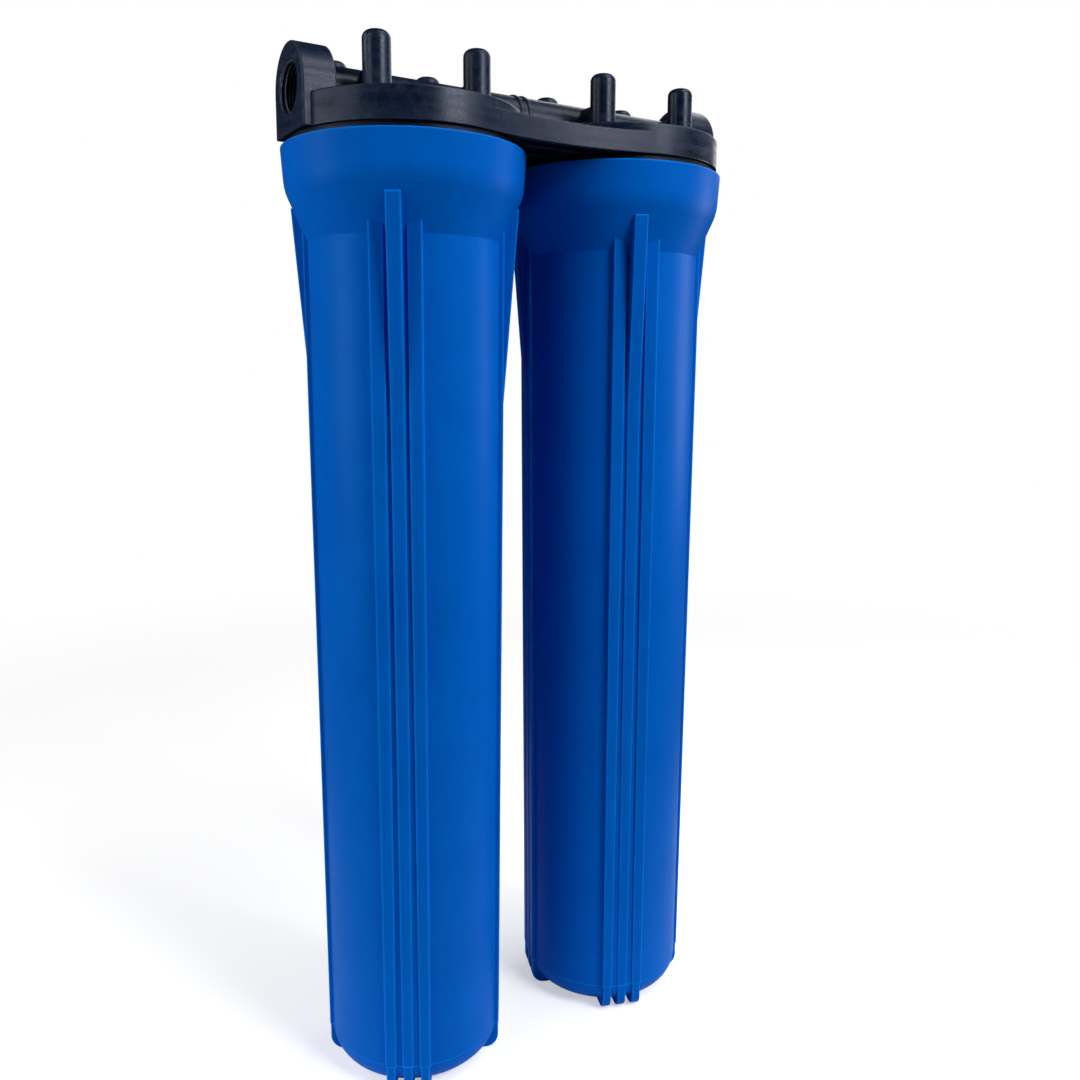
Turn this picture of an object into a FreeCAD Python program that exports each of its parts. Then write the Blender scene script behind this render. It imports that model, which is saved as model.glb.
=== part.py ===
"""Twin cartridge filter housing for 20 inch cartridges.

One black moulded head joins two blue sumps side by side.  Water enters the left
port, goes down into the left sump, inwards through a pleated sediment cartridge,
up its core and across the head's middle pipe, then through the carbon block
cartridge of the right sump and out of the right port.

Millimetres.  X runs along the row of sumps, the front faces -Y, +Z is up, and
Z = 0 is the plane that the sumps' feet stand on, midway between the sumps.
"""
import FreeCAD, Part
import math
import os

Vector = FreeCAD.Vector
ORIGIN = Vector(0, 0, 0)
UP = Vector(0, 0, 1)
ALONG = Vector(1, 0, 0)

os.makedirs("parts", exist_ok=True)

# ---------------------------------------------------------------- cartridges
CARTRIDGE_LENGTH = 508.0   # over the gaskets
CARTRIDGE_RADIUS = 31.5
CARTRIDGE_BORE = 14.0      # radius
FIT = 0.05                 # between the pieces of a cartridge
GASKET_WIDTH = 7.0
GASKET_THICKNESS = 3.0
GASKET_PROUD = 1.5         # how far a gasket stands out of its end cap
CAP_THICKNESS = 4.5
CAP_SKIRT = 8.0
CAP_WALL = 1.6
CAP_EDGE = 0.8
CORE_WALL = 2.0
CORE_CLEARANCE = 1.6       # core to spigot
CORE_PITCH = 38.0
CORE_WINDOW_WIDTH = 9.0
CORE_WINDOW_HEIGHT = 22.0
CAGE_WALL = 1.2
CAGE_PITCH = 48.0
CAGE_BAND = 7.0            # solid ring left between two rows of windows
CAGE_BAR = 6.0             # solid bar left between two windows of a row
CAGE_COLUMNS = 6
CAGE_END = 14.0            # plain tube inside the end caps
PLEATS = 30
PLEAT_THICKNESS = 1.1
NETTING_THICKNESS = 0.7
OUTER_WRAP_THICKNESS = 1.2
INNER_WRAP_THICKNESS = 1.0

# ---------------------------------------------------------------- seats, seal and thread
SEAT_GAP = 0.1             # gasket to seat
SEAT_HEIGHT = 12.0         # sump's seat above the feet
SEAT_DROP = 11.8           # head's seat below the rim
SEAT_RING = 1.2            # flat width of the ring that bites the gasket
SEAT_RING_HEIGHT = 1.5
SEAT_INSET = 3.0           # ring inside the gasket's outer edge
SEAT_SHOULDER = 1.0        # nozzle outside the ring
SPIGOT_CLEARANCE = 0.7
SPIGOT_LENGTH = 12.0
SPIGOT_WALL = 2.8
SPIGOT_LEAD = 2.0          # tapered tip
BORE_RADIUS = 59.4         # root of the collar's female thread
THREAD_ROOM = 2.7          # radial room for the thread's two profiles
THREAD_LENGTH = 22.0       # male skirt below the rim plane
SKIRT_WALL = 4.5
SKIRT_LEAD = 1.5           # tapered end
ORING_SECTION = 4.2
LEDGE_DEPTH = 5.0
LEDGE_WIDTH = 3.9          # seal ledge outside the thread's root
SEAL_CLEARANCE = 0.1

# ---------------------------------------------------------------- sump
SUMP_GAP = 6.6             # between the two collars
SUMP_CLOCKING = {"left": 30.5, "right": 19.8}   # rib group off the front, towards -X, degrees
COLLAR_WALL = 8.0          # at the rim
COLLAR_TAPER = 1.5         # off the radius at the collar's foot
COLLAR_DEPTH = 21.7
COLLAR_CORNER = 26.0       # rounding between the collar and the cone
CONE_STEP = 12.0           # collar's foot to neck, off the radius
CONE_WALL = 3.9            # measured level
NECK_DEPTH = 48.8
TUBE_TAPER = 3.1           # neck to parting line, off the radius
SUMP_WALL = 3.6
PARTING_HEIGHT = 17.0
BASE_CORNER = 15.0
BASE_DISH = 3.0            # how far the base rises towards its centre
GATE_RADIUS = 6.0          # flat where the moulding gate was
RIM_EDGE = 0.8

GROUPS = 4                 # of three parallel ribs each
RIB_WIDTH_NECK = 8.0
RIB_WIDTH_FOOT = 6.4
RIB_GAP_NECK = 1.8
RIB_GAP_FOOT = 3.4
RIB_STAND_NECK = 1.3       # flat face outside the tube's radius
RIB_STAND_FOOT = 0.75
RIB_ROOT = 2.6             # how far a rib reaches into the tube's wall
RIB_EDGE = 0.55            # rounding of the face's long edges
GUSSET_TOP_DEPTH = 29.8    # below the rim
GUSSET_SETBACK = 2.6       # gusset's top inside the collar's foot
GUSSET_END_DEPTH = 138.0
FOOT_INSET = 0.35          # step of the faces below the parting line
FOOT_NARROWING = 1.2
FOOT_CORNER = 8.5
FOOT_EDGE = 0.4
FOOT_REACH = 24.0          # inner end, from the axis

# ---------------------------------------------------------------- head
HEAD_GAP = 3.55            # rim to flange
DISC_SETBACK = 2.4         # disc inside the collar's radius
DISC_THICKNESS = 16.75
DISC_EDGE = 0.8
WAIST_NARROWING = 9.5      # waist inside the disc's radius
WAIST_THICKNESS = 12.0
WAIST_WALL = 4.0
WAIST_RIB = 2.4
WAIST_RIB_PITCH = 20.0
CEILING_HEIGHT = 9.4       # underside of the head's ceiling above the flange
PIPE_HEIGHT = 26.6         # axis above the rim
PIPE_BORE = 10.5
PIPE_WALL = 3.0
RING_OFFSET = 2.7
RING_WIDTH = 2.2
RING_HEIGHT = 0.8
RING_EDGE = 0.5
PORT_OVERHANG = 0.3        # bosses stand this far past the discs
PORT_RADIUS = 13.2         # major radius of the 3/4 inch pipe thread
PORT_DEPTH = 15.0
PORT_CHAMFER = 0.8
PORT_FLOOR = 4.0           # depth of the bore's tapered end
BOSS_LENGTH = 18.0
BOSS_WALL = 8.9            # round the port's thread
BOSS_EDGE = 0.8
POST_SPACING_X = 57.9
POST_SPACING_Y = 60.8
POST_RADIUS = 7.4
POST_TOP = 51.7            # above the rim
POST_EDGE = 4.0
POST_DRAFT = 0.25          # thickening from the web's top down to the disc
WEB_THICKNESS = 3.0
WEB_TOP = 36.0             # above the rim
BAFFLE_WALL = 3.5
WINDOW_RADIUS = 8.5

# ---------------------------------------------------------------- derived sizes and levels
LOWER_SEAT_Z = SEAT_HEIGHT
CARTRIDGE_Z = LOWER_SEAT_Z + SEAT_GAP
CARTRIDGE_TOP_Z = CARTRIDGE_Z + CARTRIDGE_LENGTH
UPPER_SEAT_Z = CARTRIDGE_TOP_Z + SEAT_GAP
RIM_Z = UPPER_SEAT_Z + SEAT_DROP
NECK_Z = RIM_Z - NECK_DEPTH
LEDGE_Z = RIM_Z - LEDGE_DEPTH
SEAL_TOP_Z = LEDGE_Z + ORING_SECTION + SEAL_CLEARANCE
BASE_Z = PARTING_HEIGHT - BASE_CORNER
FLANGE_Z = RIM_Z + HEAD_GAP
DISC_TOP_Z = FLANGE_Z + DISC_THICKNESS
CEILING_Z = FLANGE_Z + CEILING_HEIGHT
PIPE_Z = RIM_Z + PIPE_HEIGHT

GASKET_RADIUS = CARTRIDGE_BORE + GASKET_WIDTH
SEAT_RADIUS = GASKET_RADIUS - SEAT_INSET
NOZZLE_RADIUS = SEAT_RADIUS + SEAT_SHOULDER
SPIGOT_RADIUS = CARTRIDGE_BORE - SPIGOT_CLEARANCE
PASSAGE_RADIUS = SPIGOT_RADIUS - SPIGOT_WALL
CORE_RADIUS = SPIGOT_RADIUS + CORE_CLEARANCE + CORE_WALL
SLEEVE_RADIUS = CARTRIDGE_RADIUS - CAP_WALL - FIT    # cage or net, inside the end caps
INSIDE_LOW = CARTRIDGE_Z + GASKET_PROUD + CAP_THICKNESS + FIT
INSIDE_HIGH = CARTRIDGE_TOP_Z - GASKET_PROUD - CAP_THICKNESS - FIT

COLLAR_RADIUS = BORE_RADIUS + COLLAR_WALL
COLLAR_FOOT_RADIUS = COLLAR_RADIUS - COLLAR_TAPER
NECK_RADIUS = COLLAR_FOOT_RADIUS - CONE_STEP
TUBE_FOOT_RADIUS = NECK_RADIUS - TUBE_TAPER
SUMP_SPACING = 2 * COLLAR_RADIUS + SUMP_GAP
SUMP_X = {"left": -SUMP_SPACING / 2, "right": SUMP_SPACING / 2}
LEDGE_RADIUS = BORE_RADIUS + LEDGE_WIDTH
ORING_RADIUS = LEDGE_RADIUS - SEAL_CLEARANCE - ORING_SECTION / 2
SKIRT_RADIUS = BORE_RADIUS - THREAD_ROOM
SKIRT_INSIDE = SKIRT_RADIUS - SKIRT_WALL
DISC_RADIUS = COLLAR_RADIUS - DISC_SETBACK
PIPE_RADIUS = PIPE_BORE + PIPE_WALL
BOSS_HALF_WIDTH = PORT_RADIUS + BOSS_WALL
PORT_FACE_X = SUMP_SPACING / 2 + DISC_RADIUS + PORT_OVERHANG


# ---------------------------------------------------------------- helpers
def rounded_wire(corners):
    """Closed wire in the XZ plane through (x, z, radius) corners, each turned by a tangent arc."""
    edges = []
    ends = []
    count = len(corners)
    for i, (x, z, radius) in enumerate(corners):
        here = Vector(x, 0, z)
        if radius == 0:
            ends.append((here, here))
            continue
        before = Vector(corners[i - 1][0], 0, corners[i - 1][1])
        after = Vector(corners[(i + 1) % count][0], 0, corners[(i + 1) % count][1])
        to_before = (before - here).normalize()
        to_after = (after - here).normalize()
        half = to_before.getAngle(to_after) / 2
        start = here + to_before * (radius / math.tan(half))
        stop = here + to_after * (radius / math.tan(half))
        inward = (to_before + to_after).normalize()
        middle = here + inward * (radius / math.sin(half) - radius)
        edges.append(Part.Arc(start, middle, stop).toShape())
        ends.append((start, stop))
    for i in range(count):
        leave = ends[i][1]
        arrive = ends[(i + 1) % count][0]
        if (arrive - leave).Length > 1e-6:
            edges.append(Part.LineSegment(leave, arrive).toShape())
    return Part.Wire(Part.__sortEdges__(edges))


def turned(corners, x=0.0):
    """Solid of revolution about the vertical axis at x, from (radius, height, rounding) corners."""
    solid = Part.Face(rounded_wire(corners)).revolve(ORIGIN, UP, 360)
    return moved(solid, x)


def tube(outer, inner, low, high, x=0.0):
    """Plain vertical tube."""
    return turned([(inner, low, 0), (outer, low, 0), (outer, high, 0), (inner, high, 0)], x)


def moved(shape, x=0.0, y=0.0, z=0.0):
    copy = shape.copy()
    copy.translate(Vector(x, y, z))
    return copy


def rotated(shape, degrees):
    copy = shape.copy()
    copy.rotate(ORIGIN, UP, degrees)
    return copy


def box(x0, x1, y0, y1, z0, z1):
    return Part.makeBox(x1 - x0, y1 - y0, z1 - z0, Vector(x0, y0, z0))


def upright(radius, x, low, high):
    """Vertical cylinder at x between two heights."""
    return Part.makeCylinder(radius, high - low, Vector(x, 0, low))


def along_x(radius, x0, x1, z):
    """Cylinder along X between x0 and x1, with its axis at height z."""
    return Part.makeCylinder(radius, x1 - x0, Vector(x0, 0, z), ALONG)


def drafted(height, foot, neck):
    """Value at a height on the straight draft from the parting line (foot) to the neck."""
    share = (height - PARTING_HEIGHT) / (NECK_Z - PARTING_HEIGHT)
    return foot + (neck - foot) * share


def export(name, shape):
    shape.exportStep("parts/" + name + ".step")


def cartridge_seat(face_z, root_z, direction):
    """Nozzle with a narrow ring that bites the gasket, and the hollow spigot inside the cartridge.

    direction is +1 for the sump's seat, whose spigot points up, and -1 for the head's.
    """
    shoulder = face_z - direction * SEAT_RING_HEIGHT
    tip = face_z + direction * SPIGOT_LENGTH
    return turned([
        (PASSAGE_RADIUS, root_z, 0),
        (NOZZLE_RADIUS, root_z, 0),
        (NOZZLE_RADIUS, shoulder, 0),
        (SEAT_RADIUS + SEAT_SHOULDER / 2, shoulder, 0),
        (SEAT_RADIUS, face_z, 0),
        (SEAT_RADIUS - SEAT_RING, face_z, 0),
        (SEAT_RADIUS - SEAT_RING - SEAT_SHOULDER / 2, shoulder, 0),
        (SPIGOT_RADIUS, shoulder, 0),
        (SPIGOT_RADIUS, tip - direction * SPIGOT_LEAD, 0),
        (SPIGOT_RADIUS - SPIGOT_WALL / 2, tip, 0),
        (PASSAGE_RADIUS, tip, 0),
    ])


# ---------------------------------------------------------------- sump
def sump_outside():
    """Collar, cone, drafted tube and rounded base, as one turned solid."""
    return turned([
        (0, BASE_Z + BASE_DISH, 0),
        (GATE_RADIUS, BASE_Z + BASE_DISH, 0),
        (TUBE_FOOT_RADIUS - BASE_CORNER, BASE_Z, 0),
        (TUBE_FOOT_RADIUS, BASE_Z, BASE_CORNER - 0.01),
        (TUBE_FOOT_RADIUS, PARTING_HEIGHT, 0),
        (NECK_RADIUS, NECK_Z, 0),
        (COLLAR_FOOT_RADIUS, RIM_Z - COLLAR_DEPTH, COLLAR_CORNER),
        (COLLAR_RADIUS, RIM_Z, RIM_EDGE),
        (0, RIM_Z, 0),
    ])


def sump_inside():
    """Room inside the sump: seal ledge, thread bore, cone, tube and the floor round its seat."""
    floor = BASE_Z + SUMP_WALL
    corner = BASE_CORNER - SUMP_WALL
    foot = TUBE_FOOT_RADIUS - SUMP_WALL
    slope = CONE_STEP / (NECK_DEPTH - COLLAR_DEPTH)
    bore_end = NECK_Z + (BORE_RADIUS + CONE_WALL - NECK_RADIUS) / slope
    room = turned([
        (0, floor + BASE_DISH, 0),
        (GATE_RADIUS, floor + BASE_DISH, 0),
        (foot - corner, floor, 0),
        (foot, floor, corner - 0.01),
        (foot, PARTING_HEIGHT, 0),
        (NECK_RADIUS - SUMP_WALL, NECK_Z, 0),
        (BORE_RADIUS, bore_end, 0),
        (BORE_RADIUS, LEDGE_Z, 0),
        (LEDGE_RADIUS, LEDGE_Z, 0),
        (LEDGE_RADIUS, RIM_Z + 1, 0),
        (0, RIM_Z + 1, 0),
    ])
    return room.cut(cartridge_seat(LOWER_SEAT_Z, floor - SUMP_WALL / 2, 1))


def rib(place, levels):
    """Rib lofted through (height, face distance) levels; place is -1, 0 or +1 across the group.

    Each section is a flat bar across -Y whose two outer corners are rounded.
    """
    corner = RIB_EDGE * (1 - math.sqrt(0.5))
    sections = []
    for height, face in levels:
        half = drafted(height, RIB_WIDTH_FOOT, RIB_WIDTH_NECK) / 2
        pitch = 2 * half + drafted(height, RIB_GAP_FOOT, RIB_GAP_NECK)
        root = drafted(height, TUBE_FOOT_RADIUS, NECK_RADIUS) - RIB_ROOT

        def at(side, inset, distance):
            return Vector(place * pitch + side * (half - inset), -distance, height)

        def corner_arc(side):
            low, high = at(side, 0, face - RIB_EDGE), at(side, RIB_EDGE, face)
            return Part.Arc(low, at(side, corner, face - corner), high).toShape()

        sections.append(Part.Wire([
            Part.makeLine(at(-1, 0, root), at(-1, 0, face - RIB_EDGE)),
            corner_arc(-1),
            Part.makeLine(at(-1, RIB_EDGE, face), at(1, RIB_EDGE, face)),
            corner_arc(1),
            Part.makeLine(at(1, 0, face - RIB_EDGE), at(1, 0, root)),
            Part.makeLine(at(1, 0, root), at(-1, 0, root)),
        ]))
    return Part.makeLoft(sections, True, True)


def foot(place):
    """Rib's end below the parting line, rounded and running inwards under the base."""
    width = RIB_WIDTH_FOOT - FOOT_NARROWING
    face = TUBE_FOOT_RADIUS + RIB_STAND_FOOT - FOOT_INSET
    inner = TUBE_FOOT_RADIUS - RIB_ROOT
    outline = rounded_wire([
        (FOOT_REACH, BASE_Z + BASE_DISH / 2, 0),
        (FOOT_REACH + BASE_DISH / 2, 0, 0),
        (face, 0, FOOT_CORNER),
        (face, PARTING_HEIGHT, 0),
        (inner, PARTING_HEIGHT, 0),
        (inner, BASE_Z + RIB_ROOT, BASE_CORNER - RIB_ROOT - 0.01),
        (inner - BASE_CORNER, BASE_Z + RIB_ROOT, 0),
    ])
    prism = Part.Face(outline).extrude(Vector(0, width, 0))
    rims = [edge for edge in prism.Edges
            if edge.BoundBox.YLength < 1e-6 and edge.BoundBox.XMax > face - 1e-6]
    prism = moved(prism.makeFillet(FOOT_EDGE, rims), 0, -width / 2)
    return moved(rotated(prism, -90), place * (RIB_WIDTH_FOOT + RIB_GAP_FOOT))


def rib_group():
    """Three parallel ribs with flat faces; the middle one is a gusset up to the collar."""
    def level(depth_from_rim):
        height = RIM_Z - depth_from_rim
        stand = drafted(height, RIB_STAND_FOOT, RIB_STAND_NECK)
        return height, drafted(height, TUBE_FOOT_RADIUS, NECK_RADIUS) + stand

    low = level(RIM_Z - PARTING_HEIGHT)
    top = level((COLLAR_DEPTH + NECK_DEPTH) / 2)    # hidden inside the cone
    gusset_top = (RIM_Z - GUSSET_TOP_DEPTH, COLLAR_FOOT_RADIUS - GUSSET_SETBACK)
    pieces = [rib(-1, [low, top]), rib(0, [low, level(GUSSET_END_DEPTH), gusset_top]), rib(1, [low, top])]
    return pieces + [foot(place) for place in (-1, 0, 1)]


def sump(side):
    group = rib_group()
    ribs = []
    for k in range(GROUPS):
        turn = -SUMP_CLOCKING[side] - 360.0 * k / GROUPS
        ribs += [rotated(piece, turn) for piece in group]
    body = sump_outside().fuse(ribs).removeSplitter()
    return moved(body.cut(sump_inside()), SUMP_X[side])


def oring(side):
    ring = Part.makeTorus(ORING_RADIUS, ORING_SECTION / 2)
    return moved(ring, SUMP_X[side], 0, LEDGE_Z + ORING_SECTION / 2)


# ---------------------------------------------------------------- head
def waist():
    """Plate between the discs, with front and back edges as arcs tangent to both discs.

    Returns the plate and the ribbed hollow under it.
    """
    half = SUMP_SPACING / 2
    narrow = DISC_RADIUS - WAIST_NARROWING
    radius = (half ** 2 + narrow ** 2 - DISC_RADIUS ** 2) / (2 * WAIST_NARROWING)
    reach = DISC_RADIUS / (DISC_RADIUS + radius)
    touch_x = half * (1 - reach)
    touch_y = (narrow + radius) * reach

    def outline(shrink):
        x = touch_x
        y = touch_y - shrink
        mid = narrow - shrink
        front = Part.Arc(Vector(-x, -y, 0), Vector(0, -mid, 0), Vector(x, -y, 0)).toShape()
        back = Part.Arc(Vector(x, y, 0), Vector(0, mid, 0), Vector(-x, y, 0)).toShape()
        right = Part.makeLine(Vector(x, -y, 0), Vector(x, y, 0))
        left = Part.makeLine(Vector(-x, y, 0), Vector(-x, -y, 0))
        return Part.Face(Part.Wire([front, right, back, left]))

    plate = outline(0).extrude(Vector(0, 0, WAIST_THICKNESS))
    rims = [edge for edge in plate.Edges
            if isinstance(edge.Curve, Part.Circle) and edge.BoundBox.ZMin > WAIST_THICKNESS - 1e-3]
    plate = moved(plate.makeFillet(DISC_EDGE, rims), z=FLANGE_Z)
    hollow = outline(WAIST_WALL).extrude(Vector(0, 0, WAIST_THICKNESS - WAIST_WALL))
    hollow = moved(hollow, z=FLANGE_Z)
    top = FLANGE_Z + WAIST_THICKNESS
    kept = [upright(DISC_RADIUS, x, FLANGE_Z, top) for x in SUMP_X.values()]
    ribs = int(narrow / WAIST_RIB_PITCH)
    for k in range(-ribs, ribs + 1):
        y = k * WAIST_RIB_PITCH
        kept.append(box(-half, half, y - WAIST_RIB / 2, y + WAIST_RIB / 2, FLANGE_Z, top))
    return plate, hollow.cut(kept)


def post():
    """Round post standing on a disc, with a rounded top, and drafted as far up as its web goes."""
    return turned([
        (0, FLANGE_Z + 1, 0),
        (POST_RADIUS + POST_DRAFT, FLANGE_Z + 1, 0),
        (POST_RADIUS, RIM_Z + WEB_TOP, 0),
        (POST_RADIUS, RIM_Z + POST_TOP, POST_EDGE),
        (0, RIM_Z + POST_TOP, 0),
    ])


def port_boss(sign):
    """D-shaped block at the end of the pipe, round on top and flat on its sides and bottom."""
    half = BOSS_HALF_WIDTH
    wire = Part.Wire([
        Part.Arc(Vector(0, half, PIPE_Z), Vector(0, 0, PIPE_Z + half), Vector(0, -half, PIPE_Z)).toShape(),
        Part.makeLine(Vector(0, -half, PIPE_Z), Vector(0, -half, FLANGE_Z)),
        Part.makeLine(Vector(0, -half, FLANGE_Z), Vector(0, half, FLANGE_Z)),
        Part.makeLine(Vector(0, half, FLANGE_Z), Vector(0, half, PIPE_Z)),
    ])
    block = Part.Face(wire).extrude(Vector(BOSS_LENGTH, 0, 0))
    rims = [edge for edge in block.Edges if edge.BoundBox.XLength < 1e-6]
    block = block.makeFillet(BOSS_EDGE, rims)
    return moved(block, -PORT_FACE_X if sign < 0 else PORT_FACE_X - BOSS_LENGTH)


def port_bore(sign):
    """Bore of a port at its thread's major radius, with a chamfered mouth and a tapered end."""
    profile = rounded_wire([
        (0, 0, 0),
        (PORT_RADIUS + PORT_CHAMFER, 0, 0),
        (PORT_RADIUS, PORT_CHAMFER, 0),
        (PORT_RADIUS, PORT_DEPTH, 0),
        (0, PORT_DEPTH + PORT_FLOOR, 0),
    ])
    solid = Part.Face(profile).revolve(ORIGIN, UP, 360)
    solid.rotate(ORIGIN, Vector(0, 1, 0), 90 if sign < 0 else -90)
    return moved(solid, sign * PORT_FACE_X, 0, PIPE_Z)


def pipe_ring(sign):
    """One of the two ring ridges round the middle of the pipe."""
    ring = along_x(PIPE_RADIUS + RING_HEIGHT, -RING_WIDTH / 2, RING_WIDTH / 2, PIPE_Z)
    rims = [edge for edge in ring.Edges if edge.BoundBox.XLength < 1e-6]
    return moved(ring.makeChamfer(RING_EDGE, rims), sign * RING_OFFSET)


def disc_with_posts(x):
    """Solids that stand over one sump: the disc, its four posts and the webs to the pipe."""
    disc = turned([
        (0, FLANGE_Z, 0),
        (DISC_RADIUS, FLANGE_Z, 0),
        (DISC_RADIUS, DISC_TOP_Z, DISC_EDGE),
        (0, DISC_TOP_Z, 0),
    ], x)
    solids = [disc]
    for dx in (-POST_SPACING_X / 2, POST_SPACING_X / 2):
        for y in (-POST_SPACING_Y / 2, POST_SPACING_Y / 2):
            solids.append(moved(post(), x + dx, y))
            solids.append(box(x + dx - WEB_THICKNESS / 2, x + dx + WEB_THICKNESS / 2,
                              min(0, y), max(0, y), FLANGE_Z + 1, RIM_Z + WEB_TOP))
    return solids


def under_disc(x):
    """Solids that hang under one disc: the shoulder over the seal, the skirt and the nozzle."""
    shoulder = tube(LEDGE_RADIUS - SEAL_CLEARANCE * 5, SKIRT_INSIDE, SEAL_TOP_Z, FLANGE_Z, x)
    skirt_end = RIM_Z - THREAD_LENGTH
    skirt = turned([
        (SKIRT_INSIDE, skirt_end, 0),
        (SKIRT_RADIUS - SKIRT_LEAD, skirt_end, 0),
        (SKIRT_RADIUS, skirt_end + SKIRT_LEAD, 0),
        (SKIRT_RADIUS, FLANGE_Z, 0),
        (SKIRT_INSIDE, FLANGE_Z, 0),
    ], x)
    return [shoulder, skirt, moved(cartridge_seat(UPPER_SEAT_Z, CEILING_Z, -1), x)]


def water_ways():
    """Everything that is hollow in the head, as solids to cut.

    The pipe is three bores with dams between them.  The first feeds the ring-shaped room
    under the left disc through a window, the second leads from the left nozzle to the
    same window on the right, and the third leads from the right nozzle to the outlet.
    """
    dam = PASSAGE_RADIUS + BAFFLE_WALL
    left, right = SUMP_X["left"], SUMP_X["right"]
    port_middle = PORT_FACE_X - PORT_DEPTH / 2
    ways = [
        along_x(PIPE_BORE, -port_middle, left - dam, PIPE_Z),
        along_x(PIPE_BORE, left, right - dam, PIPE_Z),
        along_x(PIPE_BORE, right, port_middle, PIPE_Z),
        port_bore(-1),
        port_bore(1),
    ]
    for x in SUMP_X.values():
        window_x = x - NOZZLE_RADIUS - BAFFLE_WALL - WINDOW_RADIUS
        ways.append(tube(SKIRT_INSIDE, NOZZLE_RADIUS, FLANGE_Z - 1, CEILING_Z, x))
        ways.append(upright(PASSAGE_RADIUS, x, UPPER_SEAT_Z - SPIGOT_LENGTH, PIPE_Z))
        ways.append(upright(WINDOW_RADIUS, window_x, CEILING_Z - 1, PIPE_Z))
    return ways


def head():
    """One moulding: discs and waist, the pipe and its port bosses, posts, skirts and nozzles."""
    plate, hollow = waist()
    solids = [along_x(PIPE_RADIUS, -PORT_FACE_X + 1, PORT_FACE_X - 1, PIPE_Z)]
    solids += [port_boss(-1), port_boss(1), pipe_ring(-1), pipe_ring(1)]
    for x in SUMP_X.values():
        solids += disc_with_posts(x)
    body = plate.fuse(solids).cut(hollow)
    for x in SUMP_X.values():
        body = body.fuse(under_disc(x))
    return body.cut(water_ways()).removeSplitter()


# ---------------------------------------------------------------- cartridges
def gasket(end):
    """Flat rubber ring in the recess of an end cap; end is -1 for the lower one."""
    low = CARTRIDGE_Z if end < 0 else CARTRIDGE_TOP_Z - GASKET_THICKNESS
    return tube(GASKET_RADIUS, CARTRIDGE_BORE, low, low + GASKET_THICKNESS)


def end_cap(end):
    """Cup over the end of a cartridge, with a recess for its gasket; end is -1 for the lower one."""
    tip = CARTRIDGE_Z if end < 0 else CARTRIDGE_TOP_Z
    face = tip - end * GASKET_PROUD
    recess = tip - end * GASKET_THICKNESS
    inside = face - end * CAP_THICKNESS
    skirt = inside - end * CAP_SKIRT
    return turned([
        (CARTRIDGE_BORE, recess, 0),
        (GASKET_RADIUS + FIT, recess, 0),
        (GASKET_RADIUS + FIT, face, 0),
        (CARTRIDGE_RADIUS, face, CAP_EDGE),
        (CARTRIDGE_RADIUS, skirt, 0),
        (SLEEVE_RADIUS + FIT, skirt, 0),
        (SLEEVE_RADIUS + FIT, inside, 0),
        (CARTRIDGE_BORE, inside, 0),
    ])


def core():
    """Perforated tube that holds the pleats apart and lets the spigots in at its ends."""
    sleeve = tube(CORE_RADIUS, CORE_RADIUS - CORE_WALL, INSIDE_LOW, INSIDE_HIGH)
    rows = int((INSIDE_HIGH - INSIDE_LOW - CORE_PITCH) / CORE_PITCH)
    middle = (INSIDE_LOW + INSIDE_HIGH) / 2
    windows = []
    for k in range(rows):
        z = middle + (k - (rows - 1) / 2) * CORE_PITCH
        slot = box(-CORE_RADIUS - 1, CORE_RADIUS + 1, -CORE_WINDOW_WIDTH / 2, CORE_WINDOW_WIDTH / 2,
                   z - CORE_WINDOW_HEIGHT / 2, z + CORE_WINDOW_HEIGHT / 2)
        windows += [slot, rotated(slot, 90)]
    return sleeve.cut(windows)


def outer_cage():
    """Moulded cage round the pleats: rings and bars left between rows of windows."""
    sleeve = tube(SLEEVE_RADIUS, SLEEVE_RADIUS - CAGE_WALL, INSIDE_LOW, INSIDE_HIGH)
    opened = INSIDE_HIGH - INSIDE_LOW - 2 * CAGE_END
    rows = int((opened + CAGE_BAND) / CAGE_PITCH)
    middle = (INSIDE_LOW + INSIDE_HIGH) / 2
    width = math.pi * SLEEVE_RADIUS * 2 / CAGE_COLUMNS - CAGE_BAR
    chord = 2 * SLEEVE_RADIUS * math.sin(width / (2 * SLEEVE_RADIUS))
    windows = []
    for k in range(rows):
        z = middle + (k - (rows - 1) / 2) * CAGE_PITCH
        half = (CAGE_PITCH - CAGE_BAND) / 2
        for column in range(CAGE_COLUMNS):
            slot = box(0, SLEEVE_RADIUS + 1, -chord / 2, chord / 2, z - half, z + half)
            windows.append(rotated(slot, (column + 0.5) * 360.0 / CAGE_COLUMNS))
    return sleeve.cut(windows)


def pleated_media():
    """Pleated paper ring between the core and the cage, as one folded sheet of even thickness."""
    inner = CORE_RADIUS + FIT
    outer = SLEEVE_RADIUS - CAGE_WALL - FIT
    step = math.pi / PLEATS
    half_pitch = (outer + inner) / 2 * step
    fold = PLEAT_THICKNESS * math.hypot(outer - inner, half_pitch) / half_pitch

    def star(valley, ridge):
        points = []
        for k in range(2 * PLEATS):
            radius = valley if k % 2 else ridge
            points.append(Vector(radius * math.cos(k * step), radius * math.sin(k * step), INSIDE_LOW))
        face = Part.Face(Part.makePolygon(points + points[:1]))
        return face.extrude(Vector(0, 0, INSIDE_HIGH - INSIDE_LOW))

    return star(inner + fold, outer).cut(star(inner, outer - fold))


def left_cartridge():
    """Pleated sediment cartridge."""
    return {
        "core": core(),
        "pleated_media": pleated_media(),
        "outer_cage": outer_cage(),
    }


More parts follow.
